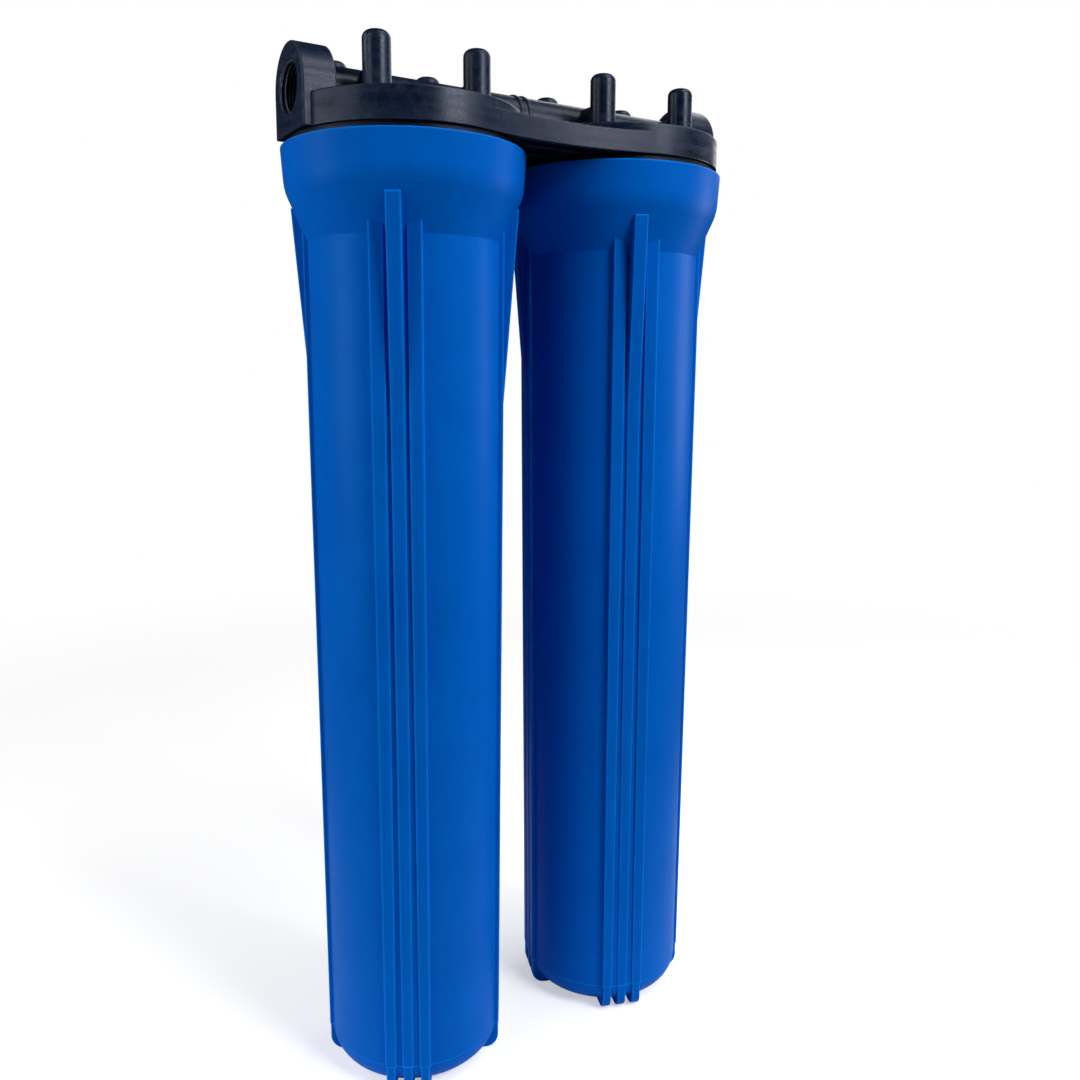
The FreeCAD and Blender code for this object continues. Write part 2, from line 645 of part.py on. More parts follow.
def right_cartridge():
    """Carbon block cartridge: block, felt inside and out, and a net sleeve."""
    wrap = SLEEVE_RADIUS - NETTING_THICKNESS - FIT
    block = wrap - OUTER_WRAP_THICKNESS - FIT
    inner = CORE_RADIUS - CORE_WALL
    felt = inner + INNER_WRAP_THICKNESS
    return {
        "netting": tube(SLEEVE_RADIUS, SLEEVE_RADIUS - NETTING_THICKNESS, INSIDE_LOW, INSIDE_HIGH),
        "outer_wrap": tube(wrap, wrap - OUTER_WRAP_THICKNESS, INSIDE_LOW, INSIDE_HIGH),
        "carbon_block": tube(block, felt + FIT, INSIDE_LOW, INSIDE_HIGH),
        "inner_wrap": tube(felt, inner, INSIDE_LOW, INSIDE_HIGH),
    }


CARTRIDGES = {"left": left_cartridge(), "right": right_cartridge()}

for side, x in SUMP_X.items():
    export(side + "_sump", sump(side))
    export(side + "_sump_oring", oring(side))
    pieces = CARTRIDGES[side]
    for end, place in ((1, "upper"), (-1, "lower")):
        pieces[place + "_end_cap"] = end_cap(end)
        pieces[place + "_gasket"] = gasket(end)
    for name, piece in pieces.items():
        export(side + "_" + name, moved(piece, x))
export("twin_head", head())
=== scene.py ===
import math

import bpy
import numpy as np
from mathutils import Matrix, Vector


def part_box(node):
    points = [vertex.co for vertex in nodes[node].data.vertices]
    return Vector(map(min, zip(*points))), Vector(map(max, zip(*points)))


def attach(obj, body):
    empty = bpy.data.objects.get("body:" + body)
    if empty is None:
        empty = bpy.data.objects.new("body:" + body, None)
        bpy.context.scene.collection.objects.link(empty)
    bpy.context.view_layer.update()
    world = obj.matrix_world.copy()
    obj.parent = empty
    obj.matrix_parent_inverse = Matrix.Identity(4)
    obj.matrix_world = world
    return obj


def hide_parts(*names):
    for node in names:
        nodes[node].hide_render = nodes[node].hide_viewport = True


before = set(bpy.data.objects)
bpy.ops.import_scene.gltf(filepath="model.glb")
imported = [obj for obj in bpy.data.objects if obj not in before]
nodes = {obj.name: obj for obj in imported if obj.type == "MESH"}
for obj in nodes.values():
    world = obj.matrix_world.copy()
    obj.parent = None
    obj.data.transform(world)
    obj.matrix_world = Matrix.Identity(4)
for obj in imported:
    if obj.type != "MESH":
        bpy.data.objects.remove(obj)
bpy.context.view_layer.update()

# ---------------------------------------------------------------- floor, light and camera
# The housing stands on a pale matt floor in a white room, inside a ring of soft boxes: the strong
# ones in front and on its left, weaker ones on the right.  The camera stands at the left front corner.
FLOOR_SIZE = 8.0
FLOOR_PALE = 0.9
FLOOR_LIFT = 0.5                     # how much brighter the lens sees the floor
BOUNCE_NEAR, BOUNCE_FAR = 0.15, 0.6  # metres from the middle, between which the bounced light fades
FAR_PALE = 0.1                       # how pale the far floor is to bounced light
WHITE_START, WHITE_FULL = 0.25, 1.3  # metres from the middle, between which the lens sees it turn white
ROOM_TONE = (0.92, 0.96, 1.0)
ROOM_GLOW = 0.018                    # what the room's walls add
SOFT_BOX_SIZE = 0.5
SOFT_BOX_TARGET = (0.0, 0.0, 0.3)    # the housing's middle
SOFT_BOXES = {                       # degrees from -Y towards +X, degrees up, metres away, watts
    "front": (20, 32, 1.4, 9.8),
    "front_high": (20, 60, 1.4, 3.9),
    "right_front": (40, 32, 1.4, 1.9),
    "right_high": (60, 60, 1.4, 1.9),
    "right_low": (80, 6, 1.4, 4.2),
    "right_back": (120, 40, 0.85, 1.4),
    "left": (-80, 32, 1.4, 2.5),
    "left_low": (-100, 6, 1.4, 8.3),
    "left_back": (-120, 32, 1.4, 2.2),
}
CAMERA_PLACE = (-0.3062, -0.5125, 0.4160)
CAMERA_AZIMUTH = 31.52               # degrees from +Y towards +X
CAMERA_ELEVATION = -7.86
CAMERA_ROLL = 0.17
SENSOR = 36.0                        # mm
LENS = 32.42                         # mm
LENS_SHIFT = (0.0137, -0.0365)

scene = bpy.context.scene
scene.view_settings.view_transform = "Standard"


def soft_box(name, azimuth, elevation, distance, power):
    """Square area light in that direction from the housing's middle, facing it."""
    level = math.cos(elevation)
    away = Vector((math.sin(azimuth) * level, -math.cos(azimuth) * level, math.sin(elevation)))
    lamp = bpy.data.lights.new(name, "AREA")
    lamp.size = SOFT_BOX_SIZE
    lamp.energy = power
    light = bpy.data.objects.new(name, lamp)
    facing = away.to_track_quat("Z", "Y").to_matrix().to_4x4()
    light.matrix_world = Matrix.Translation(Vector(SOFT_BOX_TARGET) + away * distance) @ facing
    light.visible_camera = False
    scene.collection.objects.link(light)


for name, (azimuth, elevation, distance, power) in SOFT_BOXES.items():
    soft_box(name + "_soft_box", math.radians(azimuth), math.radians(elevation), distance, power)


def fill(tree, node, sockets):
    """Give each socket its value, or join it to the other node's socket that it comes from."""
    for name, value in sockets.items():
        if isinstance(value, bpy.types.NodeSocket):
            tree.links.new(value, node.inputs[name])
        else:
            node.inputs[name].default_value = value


def add_node(tree, kind, sockets, **settings):
    """New node of that kind, with its settings made and its sockets filled."""
    node = tree.nodes.new(kind)
    for name, value in settings.items():
        setattr(node, name, value)
    fill(tree, node, sockets)
    return node


room = bpy.data.worlds.new("white_room")
scene.world = room
room.use_nodes = True
room_tree = room.node_tree
room_seen = room_tree.nodes["Background"]
fill(room_tree, room_seen, {"Color": (1.0, 1.0, 1.0, 1.0), "Strength": 1.0})
room_lit = add_node(room_tree, "ShaderNodeBackground", {"Color": (*ROOM_TONE, 1.0), "Strength": ROOM_GLOW})
room_ray = add_node(room_tree, "ShaderNodeLightPath", {}).outputs["Is Camera Ray"]
room_both = add_node(room_tree, "ShaderNodeMixShader",
                     {"Fac": room_ray, 1: room_lit.outputs["Background"],
                      2: room_seen.outputs["Background"]})
fill(room_tree, room_tree.nodes["World Output"], {"Surface": room_both.outputs["Shader"]})

half = FLOOR_SIZE / 2
floor_mesh = bpy.data.meshes.new("pale_floor")
floor_mesh.from_pydata([(-half, -half, 0), (half, -half, 0), (half, half, 0), (-half, half, 0)], [],
                       [(0, 1, 2, 3)])
floor = bpy.data.objects.new("pale_floor", floor_mesh)
scene.collection.objects.link(floor)
floor_paint = bpy.data.materials.new("pale_floor")
floor_paint.use_nodes = True
floor_tree = floor_paint.node_tree
floor_tree.nodes.remove(floor_tree.nodes["Principled BSDF"])
floor_place = add_node(floor_tree, "ShaderNodeTexCoord", {}).outputs["Object"]
reach = add_node(floor_tree, "ShaderNodeVectorMath", {0: floor_place}, operation="LENGTH").outputs["Value"]
dimming = add_node(floor_tree, "ShaderNodeMapRange",
                   {"Value": reach, "From Min": BOUNCE_NEAR, "From Max": BOUNCE_FAR,
                    "To Min": FLOOR_PALE, "To Max": FAR_PALE}, interpolation_type="SMOOTHSTEP")
bounced = add_node(floor_tree, "ShaderNodeBsdfDiffuse", {"Color": dimming.outputs["Result"]})
painted = add_node(floor_tree, "ShaderNodeBsdfDiffuse", {"Color": (*[FLOOR_PALE] * 3, 1.0)})
lifted = add_node(floor_tree, "ShaderNodeEmission", {"Strength": FLOOR_LIFT})
near = add_node(floor_tree, "ShaderNodeAddShader",
                {0: painted.outputs["BSDF"], 1: lifted.outputs["Emission"]})
far = add_node(floor_tree, "ShaderNodeEmission", {"Strength": 1.0})
whitening = add_node(floor_tree, "ShaderNodeMapRange",
                     {"Value": reach, "From Min": WHITE_START, "From Max": WHITE_FULL},
                     interpolation_type="SMOOTHSTEP")
seen = add_node(floor_tree, "ShaderNodeMixShader",
                {"Fac": whitening.outputs["Result"], 1: near.outputs["Shader"], 2: far.outputs["Emission"]})
floor_ray = add_node(floor_tree, "ShaderNodeLightPath", {}).outputs["Is Camera Ray"]
floor_both = add_node(floor_tree, "ShaderNodeMixShader",
                      {"Fac": floor_ray, 1: bounced.outputs["BSDF"], 2: seen.outputs["Shader"]})
fill(floor_tree, floor_tree.nodes["Material Output"], {"Surface": floor_both.outputs["Shader"]})
floor.data.materials.append(floor_paint)

azimuth, elevation, roll = (math.radians(a) for a in (CAMERA_AZIMUTH, CAMERA_ELEVATION, CAMERA_ROLL))
ahead = Vector((math.sin(azimuth) * math.cos(elevation), math.cos(azimuth) * math.cos(elevation),
                math.sin(elevation)))
level_right = ahead.cross(Vector((0, 0, 1))).normalized()
level_up = level_right.cross(ahead)
right = level_right * math.cos(roll) + level_up * math.sin(roll)
up = level_up * math.cos(roll) - level_right * math.sin(roll)
camera_data = bpy.data.cameras.new("camera")
camera_data.sensor_width = SENSOR
camera_data.lens = LENS
camera_data.shift_x, camera_data.shift_y = LENS_SHIFT
camera = bpy.data.objects.new("camera", camera_data)
camera.matrix_world = Matrix.Translation(CAMERA_PLACE) @ Matrix((right, up, -ahead)).transposed().to_4x4()
scene.collection.objects.link(camera)
scene.camera = camera

# ---------------------------------------------------------------- sumps
# Two long blue sumps, each injection moulded in polypropylene over a polished core.  The outside
# has a fine satin skin with faint lengthwise flow, and the ribs' edges are a little pale, partly
# from wear and partly as a painted highlight.
SUMP_BLUE = (0.0001, 0.129, 0.610)
SUMP_BLUE_DEEP = (0.0000, 0.110, 0.545)
# Pale colour of dust, scuffs and outer edges; on the edges it also serves as a painted highlight.
SUMP_BLUE_WEAR_AND_HIGHLIGHT = (0.0010, 0.270, 0.950)

PLASTIC_IOR = 1.49
CLOUDS, FLOW, SKIN, HANDLING, DUST = 17.0, 260.0, 900.0, 230.0, 75.0    # blobs to the metre
TONE_START, TONE_FULL = 0.35, 0.65   # noise, from deep to colour
EDGE_REACH = 1.6                     # of an edge's radius, how far behind the surface counts as thin
EDGE_START, EDGE_FULL = 0.92, 0.60   # plastic behind the surface, from plain to pale with wear and painted highlight
SCUFF_START, SCUFF_FULL = 0.48, 0.78
SPECK_START, SPECK_FULL = 0.026, 0.016
SPECK_PALE = 0.55
SPECKS_LEFT_OUT = 0.75               # share of the specks
GLOSS_START, GLOSS_FULL = 0.6, 1.4   # sum of two noises, from shiniest to dullest
GAP_START, GAP_FULL = 0.70, 0.30     # room before the surface, from open to full painted shade
# Share of the deep colour left in a gap's painted shade, and the roughness there.
GAP_PAINTED_SHADE, GAP_ROUGHNESS = 0.2, 0.9


def noise(tree, place, scale, detail, roughness=0.5):
    """Cloudy noise from 0 to 1, of scale blobs to the metre."""
    sockets = {"Vector": place, "Scale": scale, "Detail": detail, "Roughness": roughness}
    return add_node(tree, "ShaderNodeTexNoise", sockets).outputs["Fac"]


def ramp(tree, value, start, end, low=0.0, high=1.0):
    """Straight ramp, low where the value is start and high where it is end, and level beyond."""
    sockets = {"Value": value, "From Min": start, "From Max": end, "To Min": low, "To Max": high}
    return add_node(tree, "ShaderNodeMapRange", sockets).outputs["Result"]


def reckon(tree, operation, *values, clamp=False):
    """Result of that operation on the values, which are numbers or other nodes' sockets."""
    sockets = dict(enumerate(values))
    return add_node(tree, "ShaderNodeMath", sockets, operation=operation, use_clamp=clamp).outputs["Value"]


def number_between(tree, factor, first, second):
    """Number that goes from first to second with the factor."""
    sockets = {"Factor": factor, "A": first, "B": second}
    return add_node(tree, "ShaderNodeMix", sockets).outputs["Result"]


def colour_between(tree, factor, first, second):
    """Colour that goes from first to second with the factor.  Each is a colour or a node's socket."""
    ends = [c if isinstance(c, bpy.types.NodeSocket) else (*c, 1.0) for c in (first, second)]
    sockets = {"Factor": factor, "A": ends[0], "B": ends[1]}
    return add_node(tree, "ShaderNodeMix", sockets, data_type="RGBA").outputs["Result"]


def new_finish(name):
    """New material, its node tree, its shader, and the socket with each point's place on the piece."""
    material = bpy.data.materials.new(name)
    material.use_nodes = True
    tree = material.node_tree
    place = add_node(tree, "ShaderNodeTexCoord", {}).outputs["Object"]
    return material, tree, tree.nodes["Principled BSDF"], place


def moulded_plastic(name, colour, deep, pale_wear_and_highlight, roughness, shine, tint, grain=0.000012,
                    edge=0.0008, edge_wear_and_highlight=1.0, scuffs=0.0, flow_along=(1.0, 1.0, 0.05), streaks=0.2,
                    gloss_spread=0.07, gap=0.0):
    """Moulded thermoplastic on Object coordinates.

    Colour runs between colour and deep with clouds about 60 mm wide, mixed by streaks with flow
    lines, which are noise squeezed by flow_along.  It turns to the pale colour in scuffs a few
    millimetres wide, in rare specks of dust, and where the plastic is thin behind the surface,
    which is along outer edges: there the pale is partly wear and partly a painted highlight, as
    strong as the edge share says.  Roughness rises and falls by gloss_spread with the flow lines
    and with the skin's fine grain, which is also the bump, grain metres high.
    Edges are lit as if rounded to the radius edge.  In gaps narrower than gap the plastic is
    dull, and its colour is darkened towards black as a painted shade.
    """
    material, tree, shader, place = new_finish(name)
    clouds = noise(tree, place, CLOUDS, detail=4.0, roughness=0.6)
    drawn = add_node(tree, "ShaderNodeMapping", {"Vector": place, "Scale": flow_along})
    flow = noise(tree, drawn.outputs["Vector"], FLOW, detail=3.0)
    skin = noise(tree, place, SKIN, detail=3.0, roughness=0.65)

    rounded = add_node(tree, "ShaderNodeBevel", {"Radius": edge}, samples=6)
    thin = add_node(tree, "ShaderNodeAmbientOcclusion", {"Distance": EDGE_REACH * edge}, inside=True,
                    samples=6)
    # Outer edges turn pale: partly wear, partly a painted highlight along the edge.
    wear_and_highlight_edges = ramp(tree, thin.outputs["AO"], EDGE_START, EDGE_FULL, high=edge_wear_and_highlight)
    dust = add_node(tree, "ShaderNodeTexVoronoi", {"Vector": place, "Scale": DUST})
    speck = ramp(tree, dust.outputs["Distance"], SPECK_START, SPECK_FULL, high=SPECK_PALE)
    chance = add_node(tree, "ShaderNodeSeparateColor", {"Color": dust.outputs["Color"]})
    kept = reckon(tree, "GREATER_THAN", chance.outputs["Red"], SPECKS_LEFT_OUT)
    dust_and_edge_highlight = reckon(tree, "MULTIPLY_ADD", speck, kept, wear_and_highlight_edges)
    handled = noise(tree, place, HANDLING, detail=6.0, roughness=0.72)
    scuffed = ramp(tree, handled, SCUFF_START, SCUFF_FULL, high=scuffs)
    wear_dust_and_highlight = reckon(tree, "ADD", dust_and_edge_highlight, scuffed, clamp=True)

    tone = ramp(tree, number_between(tree, streaks, clouds, flow), TONE_START, TONE_FULL)
    body = colour_between(tree, tone, deep, colour)
    finished_colour = colour_between(tree, wear_dust_and_highlight, body, pale_wear_and_highlight)
    sheen = reckon(tree, "ADD", flow, skin)
    finished_gloss = ramp(tree, sheen, GLOSS_START, GLOSS_FULL, roughness - gloss_spread,
                          roughness + gloss_spread)
    if gap:
        # Painted shade: narrow gaps, found by occlusion, turn darker and also duller.
        nook = add_node(tree, "ShaderNodeAmbientOcclusion", {"Distance": gap}, samples=8)
        gap_shade_and_dullness = ramp(tree, nook.outputs["AO"], GAP_START, GAP_FULL)
        finished_colour = colour_between(tree, gap_shade_and_dullness, finished_colour, [c * GAP_PAINTED_SHADE for c in deep])
        finished_gloss = number_between(tree, gap_shade_and_dullness, finished_gloss, GAP_ROUGHNESS)

    relief = add_node(tree, "ShaderNodeBump",
                      {"Distance": grain, "Height": skin, "Normal": rounded.outputs["Normal"]})
    fill(tree, shader, {"Base Color": finished_colour, "Roughness": finished_gloss,
                        "Normal": relief.outputs["Normal"], "IOR": PLASTIC_IOR,
                        "Specular IOR Level": shine, "Specular Tint": (*tint, 1.0)})
    return material


def dress(name, finish):
    """The CAD node of that name gets that finish alone."""
    slots = nodes[name].data.materials
    slots.clear()
    slots.append(finish)


blue_plastic = moulded_plastic("blue_sump", SUMP_BLUE, SUMP_BLUE_DEEP, SUMP_BLUE_WEAR_AND_HIGHLIGHT,
                               roughness=0.38, shine=0.06, tint=(0.0, 0.50, 1.0), scuffs=0.08)
for name in ("left_sump", "right_sump"):
    dress(name, blue_plastic)

# ---------------------------------------------------------------- parting lines
# Where the two halves of a sump's mould meet, just above its rounded base, a hair of plastic
# stands out all the way round between the ribs.
SUMP_X = {side: sum(corner[0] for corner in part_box(side + "_sump")) / 2 for side in ("left", "right")}
PARTING_HEIGHT = 0.017
PARTING_RADIUS = 0.0508
PARTING_PROUD = 0.00018
PARTING_SUNK = 0.0002
PARTING_WIDTH = 0.00050
ROUND_STEPS = 240


def add_piece(name, points, faces, material, body):
    """Piece of that mesh with the material, riding on the body."""
    mesh = bpy.data.meshes.new(name)
    mesh.from_pydata(points.tolist(), [], faces)
    mesh.materials.append(material)
    mesh.validate()
    piece = bpy.data.objects.new(name, mesh)
    scene.collection.objects.link(piece)
    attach(piece, body)
    return piece


def ring(middle, radius, proud, sunk, width, height):
    """Closed ring about a vertical axis through x = middle.

    Its section is a kite, width high, that reaches proud outside the radius and sunk inside it.
    """
    angle = np.linspace(0.0, 2 * math.pi, ROUND_STEPS, endpoint=False)
    away = radius + np.array([-sunk, 0.0, proud, 0.0])
    rise = height + np.array([0.0, -0.5, 0.0, 0.5]) * width
    points = np.stack([middle + np.outer(np.cos(angle), away), np.outer(np.sin(angle), away),
                       np.tile(rise, (ROUND_STEPS, 1))], axis=-1)
    i, j = np.meshgrid(np.arange(ROUND_STEPS), np.arange(4), indexing="ij")
    after, beside = (i + 1) % ROUND_STEPS, (j + 1) % 4
    quads = np.stack([i * 4 + j, after * 4 + j, after * 4 + beside, i * 4 + beside], axis=-1)
    return points.reshape(-1, 3), quads.reshape(-1, 4).tolist()


for side, x in SUMP_X.items():
    points, faces = ring(x, PARTING_RADIUS, PARTING_PROUD, PARTING_SUNK, PARTING_WIDTH, PARTING_HEIGHT)
    add_piece(side + "_parting_line", points, faces, blue_plastic, side + "_bowl")

# ---------------------------------------------------------------- head
# One black polypropylene moulding that joins the sumps: two discs, the pipe between its port
# bosses, and eight posts.  Its skin is satin, with cloudy flow marks from the mould.
HEAD_BLACK = (0.0080, 0.0180, 0.0460)
HEAD_BLACK_DEEP = (0.0017, 0.0072, 0.0250)
# Pale colour of dust, scuffs and outer edges; on the edges it also serves as a painted highlight.
HEAD_BLACK_WEAR_AND_HIGHLIGHT = (0.085, 0.088, 0.102)

# Its outer edges turn paler, partly as a painted highlight, and its narrow gaps darker as a painted shade.
black_plastic = moulded_plastic("black_head", HEAD_BLACK, HEAD_BLACK_DEEP, HEAD_BLACK_WEAR_AND_HIGHLIGHT,
                                roughness=0.31, shine=0.28, tint=(0.77, 0.83, 1.0), grain=0.00002,
                                edge_wear_and_highlight=0.3, scuffs=0.26, flow_along=(0.06, 0.06, 1.0), streaks=0.7,
                                gloss_spread=0.16, gap=0.007)
dress("twin_head", black_plastic)

# ---------------------------------------------------------------- threads
# The threads are moulded with the pieces that carry them: a coarse round-topped thread on each
# skirt of the head and in each sump's collar, and a fine pipe thread in each port.
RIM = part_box("left_sump")[1][2]
MAIN_LEAD = 0.006
MAIN_RIDGE = 0.0030                  # width of the ridge's foot
SKIRT_RADIUS, SKIRT_CREST = 0.0567, 0.0589
SKIRT_START = RIM - 0.0195
SKIRT_TURNS, SKIRT_STEPS = 2.9, 280
COLLAR_BORE, COLLAR_CREST = 0.0594, 0.0572
COLLAR_START = RIM - 0.0225
COLLAR_TURNS, COLLAR_STEPS = 2.6, 260

PORT_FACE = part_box("twin_head")[1][0]
PIPE_HEIGHT = RIM + 0.0266
PORT_PITCH = 0.001814
PORT_RIDGE = 0.00165
PORT_BORE, PORT_CREST = 0.0132, 0.01205
PORT_INSET = 0.0012
PORT_TURNS, PORT_STEPS = 7.0, 420

RIDGE_SUNK = 0.00015
RIDGE_END = 0.05                     # of the full height, at both ends
CREST_SHARE = 0.34                   # of the foot's width


def thread(root, crest, width, start, lead, turns, steps):
    """Ridge of a right-hand thread about the Z axis, closed at both ends.

    A trapezium section, width wide at the root and narrower at the crest, is carried up the
    helix z = start + lead * angle / full turn.  Its height fades in and out over a quarter turn.
    """
    angle = np.linspace(0.0, turns * 2 * math.pi, steps)
    fade = np.clip(np.minimum(angle, angle[-1] - angle) / (math.pi / 2), RIDGE_END, 1.0)
    sunk = root - RIDGE_SUNK * np.sign(crest - root)
    across = np.array([-1.0, -CREST_SHARE, CREST_SHARE, 1.0]) * width / 2
    tall = np.array([0.0, 1.0, 1.0, 0.0])
    radius = sunk + (crest - sunk) * tall[None, :] * fade[:, None]
    height = start + lead * angle[:, None] / (2 * math.pi) + across[None, :]
    points = np.stack([radius * np.cos(angle)[:, None], radius * np.sin(angle)[:, None], height], axis=-1)
    i, j = np.meshgrid(np.arange(steps - 1), np.arange(4), indexing="ij")
    a, b = i * 4 + j, i * 4 + (j + 1) % 4
    c, d = (i + 1) * 4 + (j + 1) % 4, (i + 1) * 4 + j
    last = (steps - 1) * 4
    if crest > root:
        quads = np.stack([a, d, c, b], axis=-1).reshape(-1, 4)
        caps = [[0, 1, 2, 3], [last + 3, last + 2, last + 1, last]]
    else:
        quads = np.stack([a, b, c, d], axis=-1).reshape(-1, 4)
        caps = [[3, 2, 1, 0], [last, last + 1, last + 2, last + 3]]
    return points.reshape(-1, 3), quads.tolist() + caps


for side, x in SUMP_X.items():
    axis = np.array([x, 0, 0])
    points, faces = thread(SKIRT_RADIUS, SKIRT_CREST, MAIN_RIDGE, SKIRT_START, MAIN_LEAD, SKIRT_TURNS,
                           SKIRT_STEPS)
    add_piece(side + "_skirt_thread", points + axis, faces, black_plastic, "head")
    points, faces = thread(COLLAR_BORE, COLLAR_CREST, MAIN_RIDGE, COLLAR_START, MAIN_LEAD, COLLAR_TURNS,
                           COLLAR_STEPS)
    add_piece(side + "_collar_thread", points + axis, faces, blue_plastic, side + "_bowl")

points, faces = thread(PORT_BORE, PORT_CREST, PORT_RIDGE, PORT_INSET, PORT_PITCH, PORT_TURNS, PORT_STEPS)
inlet = np.stack([points[:, 2] - PORT_FACE, points[:, 0], points[:, 1] + PIPE_HEIGHT], axis=-1)
outlet = np.stack([PORT_FACE - points[:, 2], -points[:, 0], points[:, 1] + PIPE_HEIGHT], axis=-1)
add_piece("inlet_port_thread", inlet, faces, black_plastic, "head")
add_piece("outlet_port_thread", outlet, faces, black_plastic, "head")

# ---------------------------------------------------------------- sump seals
# A nitrile ring lies on each collar's ledge, moulded smooth and wiped with silicone grease.  The
# head's shoulder seals against it once the sump is screwed home.
RUBBER_BLACK = (0.014, 0.014, 0.015)
RUBBER_IOR = 1.52
RUBBER_SHADES = (0.6, 1.5)           # of its colour, between and on the specks
RUBBER_GLOSS_SPREAD = 0.1
RUBBER_RELIEF = 0.00004


def rubber(name, colour, roughness, pores):
    """Rubber on Object coordinates: noise, pores to the metre, varies its colour, gloss and bump."""
    material, tree, shader, place = new_finish(name)
    specks = noise(tree, place, pores, detail=5.0)
    dark, pale = ([c * share for c in colour] for share in RUBBER_SHADES)
    relief = add_node(tree, "ShaderNodeBump", {"Distance": RUBBER_RELIEF, "Height": specks})
    gloss = ramp(tree, specks, 0.0, 1.0, roughness - RUBBER_GLOSS_SPREAD, roughness + RUBBER_GLOSS_SPREAD)
    fill(tree, shader, {"Base Color": colour_between(tree, specks, dark, pale), "Roughness": gloss,
                        "Normal": relief.outputs["Normal"], "IOR": RUBBER_IOR})
    return material


seal_rubber = rubber("seal_rubber", RUBBER_BLACK, roughness=0.3, pores=700.0)
for name in ("left_sump_oring", "right_sump_oring"):
    dress(name, seal_rubber)

# ---------------------------------------------------------------- cartridge caps, gaskets, core and cage
# Both cartridges have white polypropylene end caps with a flat rubber gasket glued in each.  The
# left one also has a slotted core and an outer cage, moulded in the same white plastic.
CAP_WHITE = (0.80, 0.81, 0.81)
CAP_WHITE_DEEP = (0.72, 0.74, 0.75)
# Pale colour of dust, scuffs and outer edges; on the edges it also serves as a painted highlight.
CAP_WHITE_WEAR_AND_HIGHLIGHT = (0.90, 0.90, 0.90)
GASKET_GREY = (0.045, 0.045, 0.048)

white_plastic = moulded_plastic("white_plastic", CAP_WHITE, CAP_WHITE_DEEP, CAP_WHITE_WEAR_AND_HIGHLIGHT,
                                roughness=0.45, shine=0.5, tint=(1.0, 1.0, 1.0), grain=0.00002,
                                edge=0.0005)
gasket_rubber = rubber("gasket_rubber", GASKET_GREY, roughness=0.75, pores=1600.0)
for name in nodes:
    if name.endswith("_end_cap") or name in ("left_core", "left_outer_cage"):
        dress(name, white_plastic)
    if name.endswith("_gasket"):
        dress(name, gasket_rubber)

# ---------------------------------------------------------------- pleated media
# The left cartridge filters through a sheet of off-white paper folded into thirty deep pleats,
# which stand between the core and the cage and are sealed into the caps at both ends.
PAPER = (0.82, 0.80, 0.74)
PAPER_SHADE = (0.70, 0.68, 0.61)
FIBRE_SHEEN = 0.15
FIBRE_TURNS = ((0.6, 0.42, 0.6), (-0.9, -0.63, -0.9))    # of each crossed set, in radians
FIBRE_DRAWN = (1.0, 1.0, 0.12)       # squeeze that draws the noise out along a fibre
MATTED_START, MATTED_FULL = 0.1, 0.4     # product of two noises, from shade to colour


def fibres(name, colour, shade, size, roughness, depth):
    """Matted fibres on Object coordinates: the product of two crossed sets of drawn-out noise.

    A set is noise of 1 / size blobs to the metre, squeezed along its fibres by FIBRE_DRAWN.
    """
    material, tree, shader, place = new_finish(name)
    sets = []
    for turn in FIBRE_TURNS:
        drawn = add_node(tree, "ShaderNodeMapping",
                         {"Vector": place, "Rotation": turn, "Scale": FIBRE_DRAWN})
        sets.append(noise(tree, drawn.outputs["Vector"], 1.0 / size, detail=4.0))
    matted = ramp(tree, reckon(tree, "MULTIPLY", *sets), MATTED_START, MATTED_FULL)
    relief = add_node(tree, "ShaderNodeBump", {"Distance": depth, "Height": matted})
    fill(tree, shader, {"Base Color": colour_between(tree, matted, shade, colour), "Roughness": roughness,
                        "Normal": relief.outputs["Normal"], "Sheen Weight": FIBRE_SHEEN})
    return material


dress("left_pleated_media",
      fibres("pleated_paper", PAPER, PAPER_SHADE, size=0.0009, roughness=0.9, depth=0.00006))

# ---------------------------------------------------------------- carbon block, wraps and net
# The right cartridge is a tube of pressed carbon between two fibre wraps, and a white net sleeve
# of crossed, welded strands holds the outer wrap on.
CARBON = (0.030, 0.030, 0.031)
CARBON_DEEP = (0.006, 0.006, 0.007)
CARBON_GRAINS = 1500.0               # to the metre
CARBON_ROUGHNESS = 0.85
CARBON_RELIEF = 0.0002
FELT = (0.80, 0.80, 0.77)
FELT_SHADE = (0.64, 0.64, 0.61)
NET_WHITE = (0.78, 0.80, 0.81)
NET_STRANDS = 24                     # each way round
NET_TURNS = 2.6                      # of each strand from end to end
NET_STEPS = 130
STRAND_WIDE, STRAND_DEEP = 0.0010, 0.00034
NET_WELD = 0.9                       # of a strand's depth, from one set's middle to the other's


def pressed_carbon(name, colour, deep):
    """Pressed grains on Object coordinates: dark between the grains, which stand out as bump."""
    material, tree, shader, place = new_finish(name)
    grains = add_node(tree, "ShaderNodeTexVoronoi", {"Vector": place, "Scale": CARBON_GRAINS})
    away = grains.outputs["Distance"]
    relief = add_node(tree, "ShaderNodeBump", {"Distance": CARBON_RELIEF, "Height": away}, invert=True)
    fill(tree, shader, {"Base Color": colour_between(tree, away, colour, deep),
                        "Roughness": CARBON_ROUGHNESS, "Normal": relief.outputs["Normal"]})
    return material


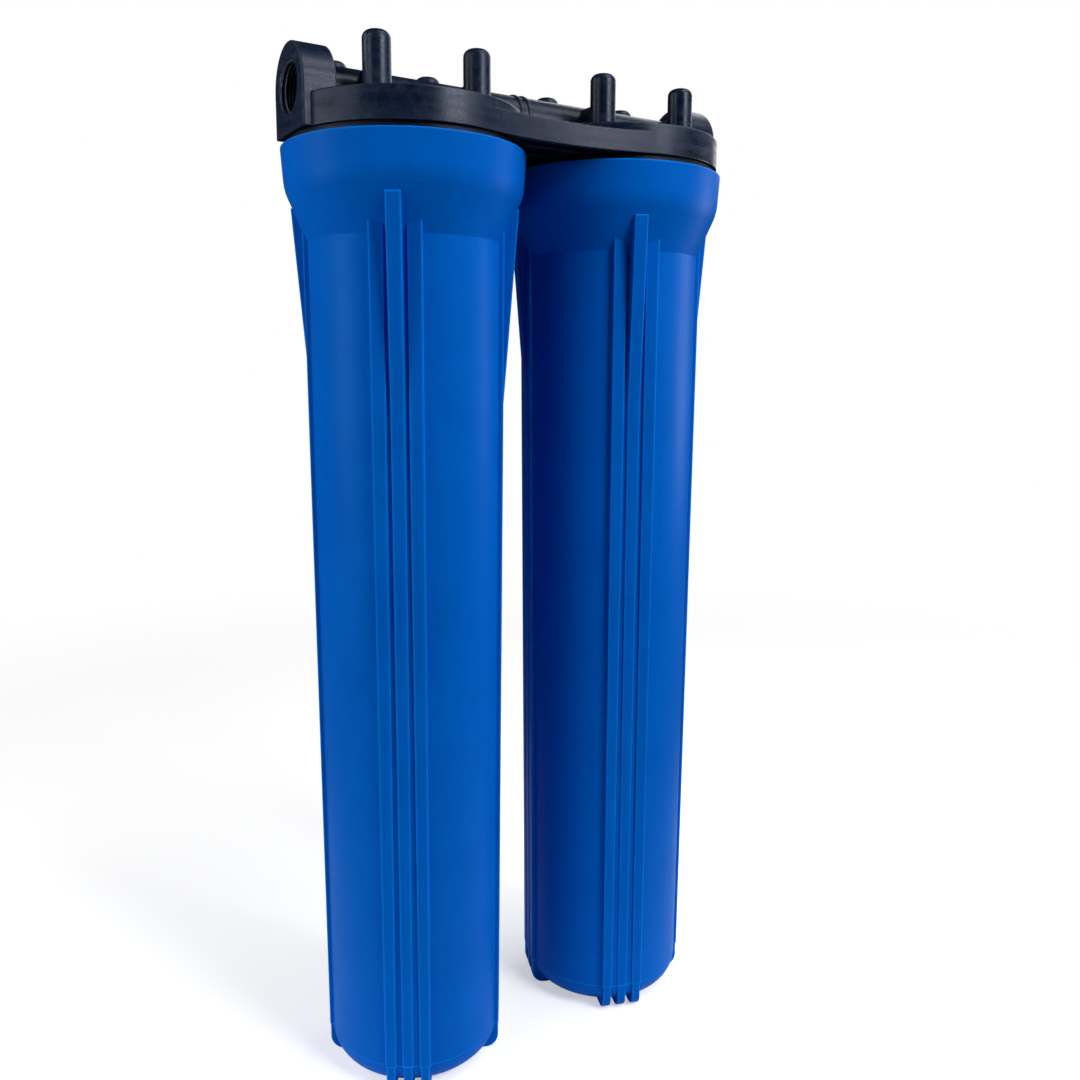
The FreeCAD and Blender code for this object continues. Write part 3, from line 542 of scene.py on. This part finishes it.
def net(low, high, middle, radius):
    """Two crossed sets of flat strands round a cylinder, each strand a helix with closed ends.

    Strand k of a set starts at angle k / NET_STRANDS of a turn and winds NET_TURNS turns, the
    second set the other way and further in, by NET_WELD of a strand's depth.
    """
    s = np.linspace(0.0, 1.0, NET_STEPS)
    corner = np.array([0.25, 0.75, 1.25, 1.75]) * math.pi
    points, faces = [], []
    for way in (1, -1):
        centre = radius - (way < 0) * STRAND_DEEP * NET_WELD
        slope = math.atan2(high - low, NET_TURNS * 2 * math.pi * centre)
        r = centre + STRAND_DEEP / 2 * np.sign(np.cos(corner))[None, :] * np.ones((NET_STEPS, 1))
        shift = STRAND_WIDE / 2 * np.sign(np.sin(corner))[None, :]
        for k in range(NET_STRANDS):
            angle = way * s * NET_TURNS * 2 * math.pi + k * 2 * math.pi / NET_STRANDS
            a = angle[:, None] - way * shift * math.sin(slope) / centre
            z = np.clip(low + (high - low) * s[:, None] + shift * math.cos(slope), low, high)
            grid = np.stack([middle + r * np.cos(a), r * np.sin(a), z], axis=-1)
            first = len(points) * NET_STEPS * 4
            points.append(grid.reshape(-1, 3))
            i, j = np.meshgrid(np.arange(NET_STEPS - 1), np.arange(4), indexing="ij")
            quad = [i * 4 + j, i * 4 + (j + 1) % 4, (i + 1) * 4 + (j + 1) % 4, (i + 1) * 4 + j]
            quad = np.stack(quad, axis=-1).reshape(-1, 4) + first
            last = first + (NET_STEPS - 1) * 4
            ends = [[first + 3, first + 2, first + 1, first], [last, last + 1, last + 2, last + 3]]
            faces += quad.tolist() + ends
    return np.concatenate(points), faces


dress("right_carbon_block", pressed_carbon("carbon", CARBON, CARBON_DEEP))
felt = fibres("felt", FELT, FELT_SHADE, size=0.0014, roughness=0.95, depth=0.00012)
for name in ("right_inner_wrap", "right_outer_wrap"):
    dress(name, felt)

net_low, net_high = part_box("right_netting")
net_plastic = moulded_plastic("netting", NET_WHITE, NET_WHITE, NET_WHITE, roughness=0.4, shine=0.5,
                              tint=(1.0, 1.0, 1.0), edge=0.0002)
points, faces = net(net_low[2], net_high[2], (net_low[0] + net_high[0]) / 2,
                    (net_high[0] - net_low[0]) / 2 - STRAND_DEEP / 2)
net_sleeve = add_piece("net_sleeve", points, faces, net_plastic, "right_cartridge")
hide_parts("right_netting")
